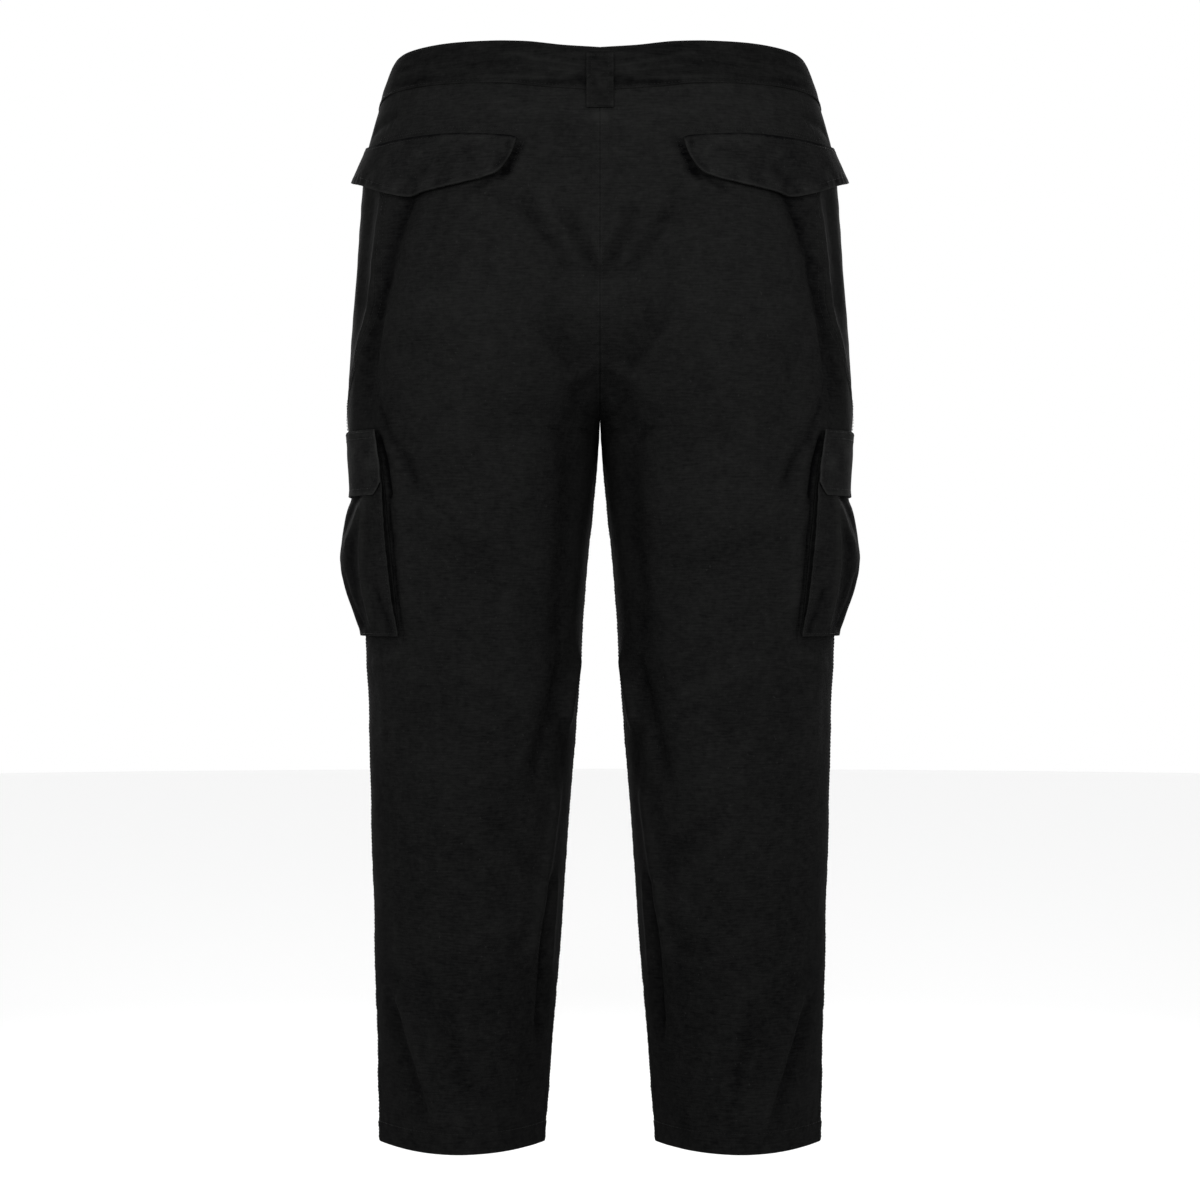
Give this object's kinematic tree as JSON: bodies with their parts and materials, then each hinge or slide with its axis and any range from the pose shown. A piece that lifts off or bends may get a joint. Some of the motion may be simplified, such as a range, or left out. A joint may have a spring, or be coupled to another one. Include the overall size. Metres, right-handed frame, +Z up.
{
  "type": "pair of cargo pants",
  "caption": "Straight-leg cargo pants of plain dark cotton twill, filled out as worn, with flapped thigh and back pockets.",
  "frame": {"origin": "centre of the waist, on the level where the waistband is held by the wearer", "axes": "+Z up; the wearer's front faces -Y and the back faces +Y; +X is the wearer's left"},
  "size_m": [0.4966, 0.3009, 1.0364],
  "materials": {
    "twill": "washed matte cotton twill",
    "button": "satin moulded button"
  },
  "bodies": {
    "root": {"back_leg_left": "twill", "front_leg_left": "twill", "waistband_left": "twill", "belt_loop_side_left": "twill", "belt_loop_front_left": "twill", "back_flap_left": "twill", "cargo_face_left": "twill", "cargo_gusset_left": "twill", "cargo_flap_left": "twill", "back_leg_right": "twill", "front_leg_right": "twill", "waistband_right": "twill", "belt_loop_side_right": "twill", "belt_loop_front_right": "twill", "back_flap_right": "twill", "cargo_face_right": "twill", "cargo_gusset_right": "twill", "cargo_flap_right": "twill", "belt_loop_back": "twill", "fly_placket": "twill", "waist_button": "button"}
  },
  "joints": []
}
